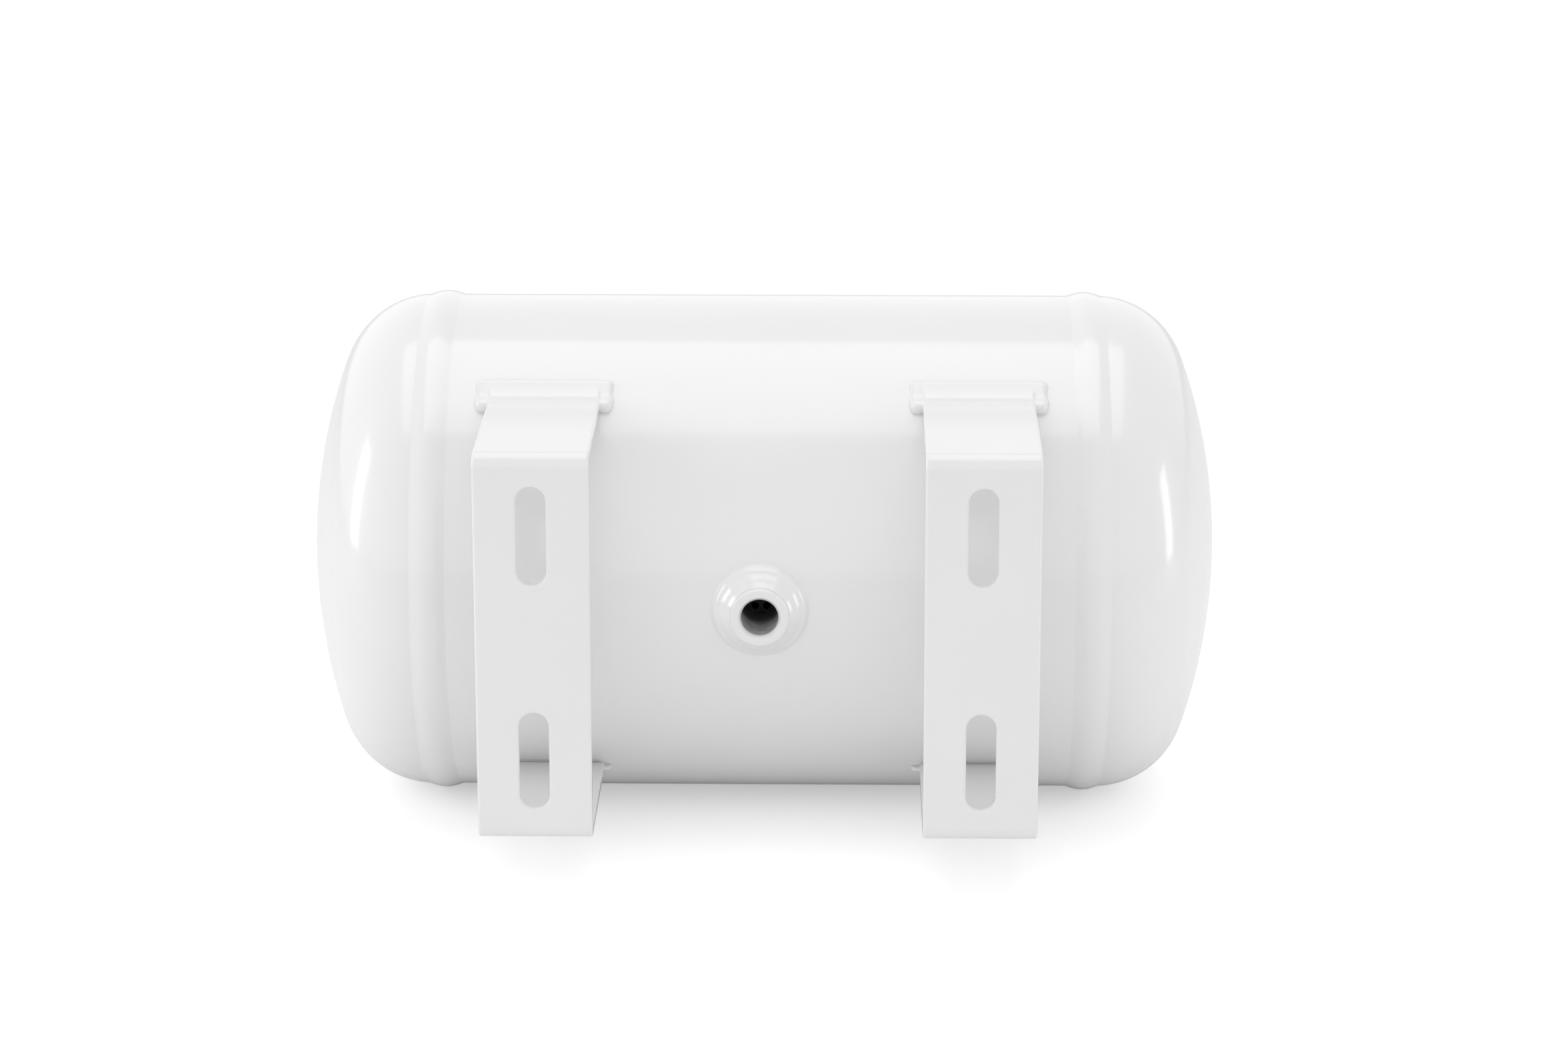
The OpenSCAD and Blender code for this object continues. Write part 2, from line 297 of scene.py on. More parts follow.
def add_node(material, kind, **inputs):
    """A node with its sockets set: a value is stored and a socket is linked."""
    node = material.node_tree.nodes.new(kind)
    for key, value in inputs.items():
        socket = node.inputs[key.replace("_", " ")]
        if isinstance(value, bpy.types.NodeSocket):
            material.node_tree.links.new(value, socket)
        else:
            socket.default_value = value
    return node


def noise(material, scale, detail):
    """Noise fixed to the object, with scale in features per metre."""
    place = add_node(material, "ShaderNodeTexCoord").outputs["Object"]
    return add_node(material, "ShaderNodeTexNoise", Vector=place, Scale=scale,
                    Detail=detail).outputs["Fac"]


def spread(material, value, low, high):
    """A noise value stretched from its usual middle range to a range of our own."""
    node = add_node(material, "ShaderNodeMapRange", Value=value, From_Min=0.25, From_Max=0.75,
                    To_Min=low, To_Max=high)
    node.interpolation_type = "SMOOTHSTEP"
    return node.outputs["Result"]


def bumped(material, layers):
    """Stacks bumps on the material, each (height socket, distance in millimetres, strength)."""
    normal = None
    for height, distance, strength in layers:
        bump = add_node(material, "ShaderNodeBump", Height=height, Distance=distance * MM,
                        Strength=strength)
        if normal is not None:
            material.node_tree.links.new(normal, bump.inputs["Normal"])
        normal = bump.outputs["Normal"]
    shader = material.node_tree.nodes["Principled BSDF"]
    material.node_tree.links.new(normal, shader.inputs["Normal"])


def mixed_color(material, factor, first, second):
    """Colours the material between two colours by a factor from 0 to 1."""
    mix = material.node_tree.nodes.new("ShaderNodeMix")
    mix.data_type = "RGBA"
    # the node's colour sockets are its inputs 6 and 7 and its output 2
    material.node_tree.links.new(factor, mix.inputs[0])
    mix.inputs[6].default_value = (*first, 1)
    mix.inputs[7].default_value = (*second, 1)
    shader = material.node_tree.nodes["Principled BSDF"]
    material.node_tree.links.new(mix.outputs[2], shader.inputs["Base Color"])


def link_roughness(material, value):
    """Lets a socket set the material's roughness."""
    shader = material.node_tree.nodes["Principled BSDF"]
    material.node_tree.links.new(value, shader.inputs["Roughness"])


def white_paint():
    """Thick glossy powder coat: a faint orange peel over slow waves in the sheet, nearly one tone."""
    paint = new_material("white_paint", (0.87, 0.87, 0.87), 0.3)
    shader = paint.node_tree.nodes["Principled BSDF"]
    shader.inputs["Coat Weight"].default_value = 1.0
    shader.inputs["Coat Roughness"].default_value = 0.12
    shader.inputs["Coat IOR"].default_value = 1.5
    peel = noise(paint, 300, 0)
    waves = noise(paint, 20, 0)
    bumped(paint, [(waves, 0.35, 0.3), (peel, 0.012, 0.3)])
    mixed_color(paint, spread(paint, noise(paint, 30, 1), 0, 1), (0.865, 0.865, 0.864),
                (0.875, 0.875, 0.875))
    link_roughness(paint, spread(paint, noise(paint, 60, 1), 0.30, 0.36))
    return paint


def thread_steel():
    """Bare cut steel, dull, on the thread inside the socket."""
    steel = new_material("thread_steel", (0.45, 0.45, 0.45), 0.45, 0.3)
    bumped(steel, [(noise(steel, 2500, 4), 0.02, 0.4)])
    mixed_color(steel, spread(steel, noise(steel, 300, 4), 0, 1), (0.38, 0.38, 0.38), (0.55, 0.545, 0.54))
    link_roughness(steel, spread(steel, noise(steel, 900, 3), 0.35, 0.6))
    return steel


def stainless():
    """Drawn stainless steel, for the wire of the spring and the ring round the bag's neck."""
    steel = new_material("plain_steel", (0.56, 0.57, 0.58), 0.3, 1.0)
    bumped(steel, [(noise(steel, 3000, 4), 0.01, 0.3)])
    mixed_color(steel, spread(steel, noise(steel, 400, 4), 0, 1), (0.5, 0.51, 0.52), (0.6, 0.61, 0.62))
    link_roughness(steel, spread(steel, noise(steel, 700, 3), 0.22, 0.4))
    return steel


def rubber(name, color):
    """Matt rubber with a fine grain."""
    soft = new_material(name, color, 0.6)
    darker = tuple(c * 0.6 for c in color)
    bumped(soft, [(noise(soft, 60, 2), 0.4, 0.2), (noise(soft, 1500, 3), 0.04, 0.3)])
    mixed_color(soft, spread(soft, noise(soft, 120, 4), 0, 1), darker, color)
    link_roughness(soft, spread(soft, noise(soft, 400, 3), 0.5, 0.72))
    return soft


def turned_brass():
    """Machined brass with fine marks left round it by the lathe."""
    brass = new_material("valve_brass", (0.72, 0.5, 0.22), 0.25, 1.0)
    place = add_node(brass, "ShaderNodeTexCoord").outputs["Object"]
    stretch = add_node(brass, "ShaderNodeMapping", Vector=place)
    stretch.inputs["Scale"].default_value = (1, 30, 1)
    marks = add_node(brass, "ShaderNodeTexNoise", Vector=stretch.outputs["Vector"], Scale=250.0,
                     Detail=3.0).outputs["Fac"]
    bumped(brass, [(marks, 0.015, 0.5)])
    mixed_color(brass, spread(brass, noise(brass, 500, 3), 0, 1), (0.66, 0.44, 0.18), (0.76, 0.55, 0.26))
    link_roughness(brass, spread(brass, noise(brass, 800, 3), 0.18, 0.34))
    return brass


def moulded_plastic():
    """Black moulded plastic with the fine grain of its mould."""
    plastic = new_material("cap_plastic", (0.02, 0.02, 0.022), 0.42)
    bumped(plastic, [(noise(plastic, 2200, 4), 0.03, 0.35)])
    mixed_color(plastic, spread(plastic, noise(plastic, 300, 3), 0, 1), (0.016, 0.016, 0.018),
                (0.028, 0.028, 0.03))
    link_roughness(plastic, spread(plastic, noise(plastic, 900, 3), 0.36, 0.5))
    return plastic


PAINT = white_paint()
THREAD = thread_steel()
STEEL = stainless()
BUTYL = rubber("butyl_rubber", (0.03, 0.03, 0.032))
SEAL = rubber("seal_rubber", (0.022, 0.022, 0.022))
BRASS = turned_brass()
PLASTIC = moulded_plastic()


def finished(piece, material, body, slot, *nodes):
    """Gives a piece its material and its body, and hides the CAD nodes it stands for. slot is not used."""
    piece.data.materials.clear()
    piece.data.materials.append(material)
    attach(piece, body)
    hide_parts(*nodes)


def painted(piece, *nodes):
    """Gives a welded piece its paint."""
    finished(piece, PAINT, "vessel", "white_paint", *nodes)


# ---------------------------------------------------------------- shell and heads


def shell_y(z, side):
    """Where the shell's surface is at a height. side is -1 on the front, towards the wall, and 1 behind."""
    return AXIS_Y + side * np.sqrt(VESSEL_R ** 2 - z ** 2)


def make_shell():
    """The rolled sheet, with its holes for the socket and the boss."""
    half = SEAM_X - ROOT_GAP / 2
    outer = [(VESSEL_R, x) for x in np.linspace(-half, half, 70)]
    inner = [(VESSEL_R - WALL, x) for x in np.linspace(half, -half, 24)]
    shell = turned("shell_tube", outer + inner, about_vessel, 360)
    # each bar passes right through the wall
    cut(shell, socket_bar(SOCKET_R + FIT, 30, 60), socket_bar(BOSS_R + FIT, 185, 210))
    shell.data.set_sharp_from_angle(angle=SHARP_ABOVE)
    painted(shell, "shell")


def dish_outline(edge_r, knuckle, crown, steps):
    """From the end of the straight flange to the pole, as (radius, x from the seam)."""
    turn_r = edge_r - knuckle
    crown_x = HEAD_FLANGE - math.sqrt((crown - knuckle) ** 2 - turn_r ** 2)
    meet = math.asin(turn_r / (crown - knuckle))
    curve = []
    for t in np.linspace(0, math.pi / 2 - meet, steps):
        curve.append((turn_r + knuckle * math.cos(t), HEAD_FLANGE + knuckle * math.sin(t)))
    for t in np.linspace(meet, 0, steps)[1:]:
        curve.append((crown * math.sin(t), crown_x + crown * math.cos(t)))
    return curve


def make_head(name, side):
    """A dished end whose lip is rolled in to fit inside the shell."""
    lip = VESSEL_R - WALL - FIT
    outer = dish_outline(VESSEL_R, HEAD_KNUCKLE_R, HEAD_CROWN_R, 40)
    inner = dish_outline(VESSEL_R - WALL, HEAD_KNUCKLE_R - WALL, HEAD_CROWN_R - WALL, 24)
    edge = [(VESSEL_R - WALL, LIP_BEND), (lip - WALL, ROOT_GAP / 2), (lip - WALL, -LIP_LENGTH),
            (lip, -LIP_LENGTH), (lip, 0), (VESSEL_R, ROOT_GAP / 2)]
    outline = np.array(outer + inner[::-1] + edge)
    outline[:, 0] = np.maximum(outline[:, 0], NEARLY_ZERO)
    outline[:, 1] = side * (SEAM_X + outline[:, 1])
    painted(turned(name + "_dished", outline, about_vessel, 360), name)


# ---------------------------------------------------------------- weld beads


def bead_height(across, width, height):
    """A bead's height at a distance across it, easing into the sheet and a little under it at both edges."""
    t = np.abs(across) / (width / 2)
    return np.where(t < 1, height * np.clip(1 - t ** 2, 0, 1) ** 1.5, 0) - 0.06 * t ** 4


def bead_rows(around, across, width, height, bury):
    """Rows of points over a bead and back under it, so that the sheet hides the bead's underside."""
    rows = [around(a, bead_height(a, width, height)) for a in across]
    return rows + [around(a * 0.8, -bury) for a in (across[-1], across[0])]


def make_seam_weld(name, side, seed):
    """The flat bead round one end of the shell, which wanders a little and varies a little in height."""
    turn = circle_angles(720)
    half = SEAM_WIDTH / 2 + 0.9
    drift = 0.15 * wobble(turn, seed)
    lift = 1 - 0.04 * (1 + wobble(turn, seed + 1))

    def around(a, rise):
        share = np.clip(rise / SEAM_HEIGHT, 0, 1)
        radius = VESSEL_R + rise * (1 - share * (1 - lift))
        return about_vessel(radius, side * SEAM_X + a + drift * share, turn)

    across = np.linspace(-half, half, 41)
    rows = bead_rows(around, across, 2 * half - 0.6, SEAM_HEIGHT - 0.03, 1.2)
    painted(add_grid(name + "_bead", np.stack(rows), close_rows=True, close_columns=True), name)


def make_long_weld():
    """The rippled bead along the rolled sheet's own seam."""
    half = SEAM_X - SEAM_WIDTH / 2
    along = np.linspace(-half, half, 400)
    width = LONG_SEAM_WIDTH / 2 + 0.4
    drift = 0.2 * wobble(along / half * 3, 41)

    def around(a, rise):
        ripple = 0.03 * np.cos(along * 4.2 - 0.5 * a * a) * np.clip(rise / LONG_SEAM_HEIGHT, 0, 1)
        return about_vessel(VESSEL_R + rise + ripple, along, LONG_SEAM_ANGLE + (a + drift) / VESSEL_R)

    across = np.linspace(-width, width, 21)
    rows = bead_rows(around, across, 2 * width - 0.4, LONG_SEAM_HEIGHT - 0.05, 1.0)
    painted(add_grid("longitudinal_bead", np.stack(rows), close_rows=True), "longitudinal_weld")


# ---------------------------------------------------------------- brackets and their welds

ARM_Z = BRACKET_HEIGHT / 2
ARM_END_Y = shell_y(ARM_Z - STRIP_T, -1) - 0.1


def drawn_out(name, outlines):
    """A closed body through a row of outlines that have the same number of points."""
    rows = np.array(outlines)
    last, count = len(rows) - 1, rows.shape[1]
    faces = grid_faces(last + 1, count, False, True)
    faces += [tuple(range(count)), tuple(range((last + 1) * count - 1, last * count - 1, -1))]
    return add_mesh(name, rows.reshape(-1, 3), faces)


def bar_along_x(name, outline, x0, x1):
    """A closed outline of (y, z) drawn out along X."""
    rows = [[(x, y, z) for y, z in outline] for x in (x0, x1)]
    return drawn_out(name, rows)


def strip_solid(name, x):
    """The bent strip, before its slots are cut."""
    inside = BEND_R - STRIP_T
    top, low = ARM_Z, ARM_Z - STRIP_T
    outline = rounded([(ARM_END_Y, top, 0), (0, top, BEND_R), (0, -top, BEND_R), (ARM_END_Y, -top, 0),
                       (ARM_END_Y, -low, 0), (STRIP_T, -low, inside), (STRIP_T, low, inside),
                       (ARM_END_Y, low, 0)], 16)
    return bar_along_x(name, outline, x - STRIP_WIDTH / 2, x + STRIP_WIDTH / 2)


def slot_tool(x, z):
    """A round-ended upright bar through the plate, flaring where it leaves it to give the slot round rims."""
    reach = (SLOT_LENGTH - SLOT_WIDTH) / 2
    turn = np.linspace(0, math.pi, 41)
    upper = [(math.cos(t), math.sin(t), reach) for t in turn]
    lower = [(-a, -b, -shift) for a, b, shift in upper]
    spots = np.linspace(0, math.pi / 2, 8)
    rim = [(EDGE_ROUND * (1 - math.cos(t)), EDGE_ROUND * (1 - math.sin(t))) for t in spots]
    far_rim = [(STRIP_T - y, wide) for y, wide in rim[::-1]]
    rows = []
    for y, wide in [(-2, EDGE_ROUND), *rim, *far_rim, (STRIP_T + 2, EDGE_ROUND)]:
        radius = SLOT_WIDTH / 2 + wide
        rows.append([(x + radius * a, y, z + radius * b + shift) for a, b, shift in upper + lower])
    return drawn_out("slot_tool", rows)


def make_bracket(name, x):
    """One bent strip with its two slots."""
    strip = strip_solid(name + "_strip", x)
    cut(strip, *[slot_tool(x, z) for z in (SLOT_PITCH / 2, -SLOT_PITCH / 2)])
    soften(strip, EDGE_ROUND, 4)
    painted(strip, name)


def flowed(name, lumps):
    """Melts overlapping closed lumps into one smooth body."""
    with bpy.context.temp_override(active_object=lumps[0], selected_editable_objects=lumps):
        bpy.ops.object.join()
    body = lumps[0]
    body.name = name
    melt = body.modifiers.new("melt", "REMESH")
    melt.mode = "VOXEL"
    melt.voxel_size = WELD_VOXEL * MM
    ease = body.modifiers.new("ease", "SMOOTH")
    ease.factor = 0.5
    ease.iterations = WELD_EASE
    apply_modifiers(body)
    body.data.shade_smooth()
    return body


def round_ended(name, section, centre, x, reach):
    """An outline of (y, z) drawn out along X to either side of x, which shrinks to nothing at both ends."""
    turn = np.linspace(0, math.pi / 2, 9)
    places = reach - LOBE_END + LOBE_END * np.sin(turn)
    sizes = np.cos(turn) ** 0.7
    rows = []
    for place, size in zip(np.append(-places[::-1], places), np.append(sizes[::-1], sizes)):
        y, z = (np.array(centre) + (section - centre) * size).T
        rows.append(np.stack([np.full(len(y), x + place), y, z], 1))
    return add_grid(name, np.stack(rows), close_columns=True)


def make_arm_weld(name, x, side, seed):
    """Weld metal that runs from the top of an upper arm, or the underside of a lower one, onto the shell.

    A fill covers the arm's end from edge to edge, and a lobe reaches past each edge. side is 1 for an upper
    arm, whose lobes are as high as the fill, and -1 for a lower arm, whose lobes are thin.
    """
    half = STRIP_WIDTH / 2
    far_z = ARM_Z + ARM_WELD_RISE
    far_y = shell_y(far_z, -1)
    toe_y = ARM_END_Y - ARM_WELD_TOE
    step_y = far_y - 6.6
    crest_y = far_y - 2.7
    buried_y = far_y + 2
    if side > 0:
        nose_y = ARM_END_Y - 2.4
        lobe_reach = 3.3
        lobe = rounded([(ARM_END_Y + 1, ARM_Z - 4.6, 0), (nose_y + 0.5, ARM_Z - 3.4, 1.4),
                        (nose_y, ARM_Z + 0.3, 2.0), (step_y, ARM_Z + 0.3, 4.5), (crest_y, far_z + 0.3, 0.7),
                        (buried_y, far_z, 0), (buried_y, ARM_Z - 3, 0)], 8)
    else:
        nose_y = ARM_END_Y - 0.5
        lobe_reach = 2.8
        lobe = rounded([(far_y, ARM_Z - 2.2, 0), (nose_y, ARM_Z - 1.4, 0.6), (nose_y, ARM_Z - 0.2, 0.6),
                        (far_y, ARM_Z + 0.8, 0)], 8)
    fill = rounded([(toe_y, ARM_Z - 2.6, 0), (toe_y, ARM_Z + 0.02, 0), (step_y, ARM_Z + 0.05, 11.5),
                    (crest_y, far_z + 0.4, 0.7), (buried_y, far_z + 0.1, 0), (buried_y, ARM_Z, 0),
                    (far_y, ARM_Z - 2.6, 0)], 12)
    flip = np.array([1, side])
    dice = np.random.default_rng(seed)
    lumps = [bar_along_x("fill", fill * flip, x - half + 0.4, x + half - 0.4)]
    for edge in (-half, half):
        reach = lobe_reach - 0.3 * dice.random()
        middle = x + edge + math.copysign(reach - 1.7, edge)
        centre = (far_y, side * (ARM_Z - 0.5))
        lumps.append(round_ended("lobe", lobe * flip, centre, middle, reach))
    painted(flowed(name + "_bead", lumps), name)


# ---------------------------------------------------------------- water socket


def thread_surface(name, radius, depth, pitch, y_from, turns, inward, rows_per_turn):
    """A helical thread as a tube surface: inward for a nut's thread, outward for a screw's."""
    angles = np.linspace(0, 2 * math.pi, 121)
    rows = turns * rows_per_turn + 1
    y = y_from + np.linspace(0, turns * pitch, rows)
    phase = (y[:, None] / pitch + angles[None, :] / (2 * math.pi)) % 1
    flank = np.clip(1.35 * np.abs(2 * phase - 1) - 0.17, 0, 1)
    fade = np.clip(np.minimum(y - y_from, y_from + turns * pitch - y) / pitch, 0, 1)[:, None]
    groove = depth * flank * fade
    reach = radius + groove if inward else radius - groove
    return add_grid(name, about_socket(reach, y[:, None], angles[None, :]))


def make_socket():
    """The threaded socket: a body that the weld holds, the cone at its mouth and the thread behind it."""
    thread_y = SOCKET_FACE_Y + 1.4
    thread_end = thread_y + THREAD_TURNS * THREAD_PITCH
    end = SOCKET_FACE_Y + SOCKET_LENGTH
    sieve_r = BORE_R + 1.2
    sieve_y = end - 1.5
    inner_r = SOCKET_R - 0.35
    chamfer_r = BORE_R + 0.7
    outline = rounded([(chamfer_r, SOCKET_FACE_Y, 0.16), (SOCKET_R, SOCKET_FACE_Y, 0.7),
                       (SOCKET_R, SOCKET_STEP_Y, 0), (inner_r, SOCKET_STEP_Y, 0), (inner_r, end, 0.3),
                       (sieve_r, end, 0.1), (sieve_r, sieve_y, 0), (BORE_R, sieve_y, 0),
                       (BORE_R, thread_end, 0)], 8)
    mouth = np.array([(BORE_R, thread_y), (BORE_R + 0.02, SOCKET_FACE_Y + 0.75), outline[0]])
    angles = circle_angles(144)[None, :]
    for part, line in (("body", outline), ("rim", mouth)):
        points = about_socket(line[:, 0, None], line[:, 1, None], angles)
        painted(add_grid("water_socket_" + part, points, close_columns=True), "water_socket")
    thread = thread_surface("water_socket_thread", BORE_R, THREAD_DEPTH, THREAD_PITCH, thread_y,
                            THREAD_TURNS, True, 14)
    finished(thread, THREAD, "vessel", "white_paint", "water_socket")


def round_weld(name, node, inner_r, outer_r, side, heights, sag, seed):
    """A weld laid round a boss. heights gives its rise above the shell from its inner to its outer edge.

    sag is the share of that height that its outer edge lacks at the bottom, where the metal ran out flat.
    """
    angles = circle_angles(288)
    down = np.maximum(-np.sin(angles), 0)
    spots = np.linspace(0, 1, 49)
    rise = np.interp(spots, np.linspace(0, 1, len(heights)), heights)
    kernel = np.hanning(7) / np.hanning(7).sum()
    rise = np.convolve(np.pad(rise, 3, mode="edge"), kernel, mode="valid")

    def ring(radius, height):
        return about_socket(radius, shell_y(radius * np.sin(angles), side) + side * height, angles)

    rows = []
    for t, h in zip(spots, rise):
        drift = 0.18 * wobble(angles, seed) * math.sin(math.pi * t)
        swell = h * (1 + 0.05 * wobble(angles, seed + 1, 9)) * (1 - sag * t * t * down)
        rows.append(ring(inner_r + (outer_r - inner_r) * t + drift, swell))
    for radius, depth in ((outer_r + 0.5, 0.06), (outer_r + 0.9, 0.2), (outer_r, 1.0), (inner_r, 1.0)):
        rows.append(ring(radius, -depth))
    painted(add_grid(name, np.stack(rows), close_rows=True, close_columns=True), node)


# ---------------------------------------------------------------- charging valve


def make_boss():
    """The collar welded into the back of the shell, which holds the valve."""
    bore = TAIL_R + FIT
    outline = rounded([(bore, BOSS_INNER_Y, 0), (BOSS_R, BOSS_INNER_Y, 0.4), (BOSS_R, BOSS_FACE_Y, 0.6),
                       (bore, BOSS_FACE_Y, 0)], 6)
    painted(turned("valve_boss_collar", outline, about_socket, 120), "valve_boss")


def make_gasket():
    """The rubber ring between the boss and the valve's hexagon."""
    bore = TAIL_R + FIT
    top = BOSS_FACE_Y + GASKET_T
    outline = rounded([(bore, BOSS_FACE_Y, 0.2), (GASKET_R, BOSS_FACE_Y, 0.4), (GASKET_R, top, 0.4),
                       (bore, top, 0.2)], 5)
    ring = turned("valve_gasket_ring", outline, about_socket, 96)
    finished(ring, SEAL, "vessel", "seal_rubber", "valve_gasket")


def make_stem():
    """The valve's brass body: tail, hexagon, root, threaded neck and tip."""
    hex_y = BOSS_FACE_Y + GASKET_T
    hex_top = hex_y + HEX_HEIGHT
    corner_r = HEX_AF / math.sqrt(3)
    corners = [(math.cos(t) * corner_r, math.sin(t) * corner_r) for t in np.arange(6) * math.pi / 3]
    nut = drawn_out("valve_stem_hexagon", [[(a, y, b) for a, b in corners] for y in (hex_y, hex_top)])
    cut(nut, socket_bar(STEM_BORE_R, hex_y - 2, hex_top + 2))
    soften(nut, 0.3, 3)
    thread_y = hex_top + 1.2
    turns = int((NECK_END_Y - 0.6 - thread_y) / NECK_PITCH)
    thread_end = thread_y + turns * NECK_PITCH
    thread = thread_surface("valve_stem_thread", NECK_R, NECK_THREAD_DEPTH, NECK_PITCH, thread_y, turns,
                            False, 10)
    parts = [nut, thread]
    lathed = {
        "tip": rounded([(STEM_BORE_R, thread_end, 0), (NECK_R, thread_end, 0), (NECK_R, NECK_END_Y, 0.35),
                        (STEM_BORE_R, NECK_END_Y, 0.25)], 5),
        "root": [(STEM_BORE_R, hex_top - 0.5), (NECK_R, hex_top - 0.5), (NECK_R, thread_y),
                 (STEM_BORE_R, thread_y)],
        "bore": [(STEM_BORE_R, thread_y), (STEM_BORE_R + 0.3, thread_y), (STEM_BORE_R + 0.3, thread_end),
                 (STEM_BORE_R, thread_end)],
        "tail": rounded([(STEM_BORE_R, TAIL_INNER_Y, 0.2), (TAIL_R, TAIL_INNER_Y, 0.4), (TAIL_R, hex_y, 0),
                         (STEM_BORE_R, hex_y, 0)], 4),
    }
    for part, outline in lathed.items():
        parts.append(turned("valve_stem_" + part, outline, about_socket, 96))
    for part in parts:
        finished(part, BRASS, "vessel", "valve_brass", "valve_stem")


def make_spring():
    """The valve core's spring, of round wire."""
    length = SPRING_HIGH_Y - SPRING_LOW_Y
    turn = np.linspace(0, 2 * math.pi * COIL_TURNS, 40 * COIL_TURNS)
    turn = np.concatenate([turn[:1], turn, turn[-1:]])
    thick = np.full(len(turn), WIRE_R)
    thick[[0, -1]] = 0
    middle = SPRING_LOW_Y + WIRE_R + (length - 2 * WIRE_R) * turn / turn[-1]
    around = circle_angles(12)[None, :]
    points = about_socket(COIL_R + thick[:, None] * np.cos(around),
                          middle[:, None] + thick[:, None] * np.sin(around), turn[:, None])
    coil = add_grid("valve_core_spring_coil", points, close_columns=True)
    finished(coil, STEEL, "vessel", "plain_steel", "valve_core_spring")
    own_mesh(coil)


def make_cap():
    """A moulded cap with ribs round it for the fingers."""
    pole = 0.01
    ceiling = NECK_END_Y + 1
    angles = circle_angles(CAP_RIBS * 16)
    outline = rounded([(CAP_BORE_R, CAP_LOW_Y, 0.2), (CAP_R, CAP_LOW_Y, 0.35), (CAP_R, CAP_HIGH_Y, 1.0),
                       (pole, CAP_HIGH_Y, 0)], 8)
    rows = []
    for r, y in outline:
        depth = 0.32 * np.clip((y - CAP_LOW_Y - 1.2) / 0.6, 0, 1) * np.clip(r - CAP_R + 1.4, 0, 1)
        groove = depth * np.clip(np.cos(CAP_RIBS * angles) * 1.4 - 0.2, 0, 1)
        rows.append(about_socket(r - groove, y, angles))
    rows.append(about_socket(pole, ceiling, angles))
    rows.append(about_socket(CAP_BORE_R, ceiling, angles))
    cap = add_grid("valve_cap_ribbed", np.stack(rows), close_rows=True, close_columns=True)
    cap.data.set_sharp_from_angle(angle=SHARP_ABOVE)
    finished(cap, PLASTIC, "cap", "cap_plastic", "valve_cap")


# ---------------------------------------------------------------- bladder


def make_bladder():
    """A half-filled rubber bag: a capsule whose sides fall in along soft folds, with a neck at the front."""
    angles = circle_angles(240)
    grid = []
    for p in np.linspace(0.001, math.pi - 0.001, 181):
        x = BAG_HALF * -math.cos(p) * (1 - 0.02 * math.sin(p) ** 2)
        radius = BAG_R * math.sin(p) ** 0.42
        middle = math.sin(p) ** 2
        folds = 0.10 * middle * (0.5 - 0.5 * np.cos(3 * (angles - 0.4)) ** 3)
        creases = 0.012 * middle * np.cos(11 * angles + 2.5 * math.cos(p))
        # the folds die out at the front, where the neck is
        front = np.exp(-(angles - math.pi) ** 2 / 0.3)
        grid.append(about_vessel(radius * (1 - (folds + creases) * (1 - front)) * 0.99, x, angles))
    bag = add_grid("bladder_bag", np.stack(grid), close_columns=True)
    finished(bag, BUTYL, "vessel", "butyl_rubber", "bladder")
    neck_r = SOCKET_R - 0.3
    neck = rounded([(neck_r, 45, 0.4), (neck_r + BAG_T, 45, 0.6), (neck_r + BAG_T, 66, 0),
                    (neck_r + 6, 70, 0), (neck_r, 72, 0)], 5)
    finished(turned("bladder_neck", neck, about_socket, 96), BUTYL, "vessel", "butyl_rubber", "bladder")


# ---------------------------------------------------------------- the object

make_shell()
for label, sign in (("left", -1), ("right", 1)):
    make_head(label + "_head", sign)
    make_seam_weld(label + "_seam_weld", sign, 11 + sign)
    make_bracket(label + "_bracket", sign * BRACKET_X)
    make_arm_weld(label + "_bracket_top_weld", sign * BRACKET_X, 1, 21 + sign)
    make_arm_weld(label + "_bracket_bottom_weld", sign * BRACKET_X, -1, 31 + sign)
make_long_weld()
make_socket()
round_weld("water_socket_weld_rings", "water_socket_weld", SOCKET_R, SOCKET_WELD_R, -1,
           SOCKET_WELD_HEIGHTS, 0.85, 5)
round_weld("valve_boss_weld_ring", "valve_boss_weld", BOSS_R, BOSS_WELD_R, 1,
           BOSS_WELD_HEIGHTS, 0.0, 8)
make_boss()
make_gasket()
make_stem()
make_spring()
make_cap()
make_bladder()

# the CAD nodes that show as they are, with the material that each gets; the strainer gets the black plastic
# so that the bore behind the socket's mouth looks black, a painted shade
CAD_FINISH = {"inlet_strainer": PLASTIC, "bladder_neck_ring": STEEL, "valve_core_body": BRASS,
              "valve_core_pin": BRASS, "valve_core_seal": SEAL, "valve_cap_seal": SEAL}
for node, material in CAD_FINISH.items():
    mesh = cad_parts[node].data
    mesh.materials.clear()
    mesh.materials.append(material)


# ---------------------------------------------------------------- floor, light and camera

CAMERA_PLACE = (0.0275, -1.28, 0.4096)
CAMERA_YAW = math.radians(-0.87)
CAMERA_PITCH = math.radians(16.09)
CAMERA_LENS = 102.4

# half the table's width in metres, its shade, the light it gives off, and the white that is added to it
# for the camera alone
FLOOR_HALF = 8.0
FLOOR_GREY = 0.9
FLOOR_GLOW = 0.03
FLOOR_WHITENING = 0.36

# the world's light from each side, as (axis, sign, strength)
SKY = (("X", -1, 0.97), ("X", 1, 0.66), ("Y", -1, 1.1), ("Y", 1, 1.05), ("Z", 1, 0.43))

# the softboxes: name, place, target, size across, size along and radiance
LIGHTS = (
    ("top_light", (0, 0.16, 1.2), (0, 0.16, 0), 1.1, 1.22, 1.15),
    ("left_light", (-1.0, 0.01, 0.3), (0, 0.01, 0.3), 0.22, 0.6, 3.1),
    ("right_light", (1.0, 0.02, 0.18), (0, 0.02, 0.18), 0.18, 0.46, 3.4),
)


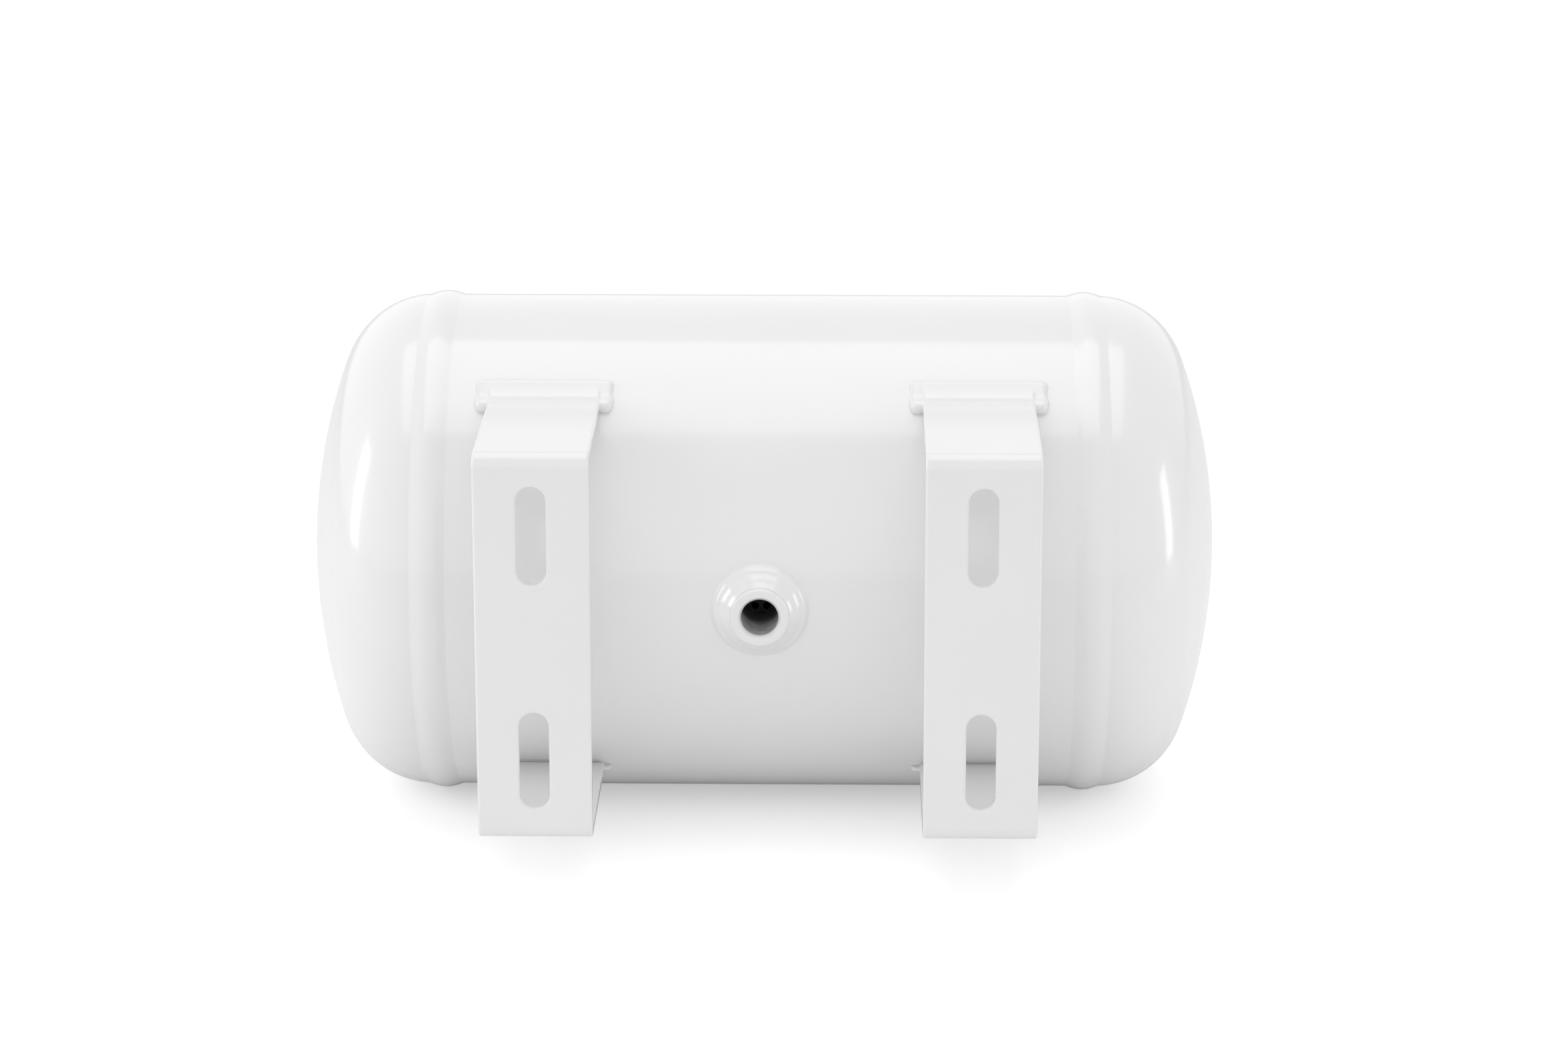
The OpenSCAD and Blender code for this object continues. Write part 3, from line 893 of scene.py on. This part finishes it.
def math_node(tree, operation, first, second):
    """A math node on sockets or numbers."""
    node = tree.nodes.new("ShaderNodeMath")
    node.operation = operation
    for socket, value in zip(node.inputs, (first, second)):
        if isinstance(value, bpy.types.NodeSocket):
            tree.links.new(value, socket)
        else:
            socket.default_value = value
    return node.outputs[0]


def make_floor():
    """A pale table. It glows a little to the camera, so that it looks white and its shadow stays faint."""
    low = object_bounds()[0][2]
    corners = [(a * FLOOR_HALF, b * FLOOR_HALF, low) for a, b in ((-1, -1), (1, -1), (1, 1), (-1, 1))]
    mesh = bpy.data.meshes.new("floor")
    mesh.from_pydata(corners, [], [(0, 1, 2, 3)])
    floor = bpy.data.objects.new("floor", mesh)
    bpy.context.scene.collection.objects.link(floor)
    material = new_material("floor_white", (FLOOR_GREY,) * 3, 0.9)
    shader = material.node_tree.nodes["Principled BSDF"]
    shader.inputs["Emission Color"].default_value = (1, 1, 1, 1)
    seen = material.node_tree.nodes.new("ShaderNodeLightPath").outputs["Is Camera Ray"]
    extra = math_node(material.node_tree, "MULTIPLY", seen, FLOOR_WHITENING)
    glow = math_node(material.node_tree, "ADD", extra, FLOOR_GLOW)
    material.node_tree.links.new(glow, shader.inputs["Emission Strength"])
    mixed_color(material, spread(material, noise(material, 3, 2), 0, 1), (FLOOR_GREY - 0.005,) * 3,
                (FLOOR_GREY + 0.005,) * 3)
    mesh.materials.append(material)


def make_world():
    """Soft light from all round, with its own strength on each side: one broad lobe for each direction."""
    world = bpy.data.worlds.new("studio")
    world.use_nodes = True
    tree = world.node_tree
    place = tree.nodes.new("ShaderNodeTexCoord")
    parts = tree.nodes.new("ShaderNodeSeparateXYZ")
    tree.links.new(place.outputs["Generated"], parts.inputs["Vector"])
    total = 0.0
    for axis, sign, strength in SKY:
        facing = math_node(tree, "MAXIMUM", math_node(tree, "MULTIPLY", parts.outputs[axis], sign), 0.0)
        lobe = math_node(tree, "POWER", facing, 2.0)
        total = math_node(tree, "ADD", math_node(tree, "MULTIPLY", lobe, strength), total)
    backdrop = tree.nodes["Background"]
    backdrop.inputs["Color"].default_value = (1, 1, 1, 1)
    tree.links.new(total, backdrop.inputs["Strength"])
    bpy.context.scene.world = world


def softbox(name, place, target, width, height, radiance):
    """A rectangular light, width across and height along, that glows with the given radiance."""
    light = bpy.data.lights.new(name, "AREA")
    light.shape = "RECTANGLE"
    light.size = width
    light.size_y = height
    light.energy = radiance * math.pi * width * height
    lamp = bpy.data.objects.new(name, light)
    lamp.location = place
    aim = Vector(target) - Vector(place)
    lamp.rotation_euler = aim.to_track_quat("-Z", "Y").to_euler()
    bpy.context.scene.collection.objects.link(lamp)


def make_camera():
    """The camera, in front of the wall side and looking down on the vessel."""
    camera = bpy.data.cameras.new("camera")
    camera.lens = CAMERA_LENS
    camera.sensor_width = 36
    camera.clip_end = 50
    eye = bpy.data.objects.new("camera", camera)
    eye.location = CAMERA_PLACE
    eye.rotation_euler = (math.pi / 2 - CAMERA_PITCH, 0, -CAMERA_YAW)
    bpy.context.scene.collection.objects.link(eye)
    bpy.context.scene.camera = eye


make_floor()
make_world()
for box in LIGHTS:
    softbox(*box)
make_camera()
bpy.context.scene.view_settings.view_transform = "Standard"
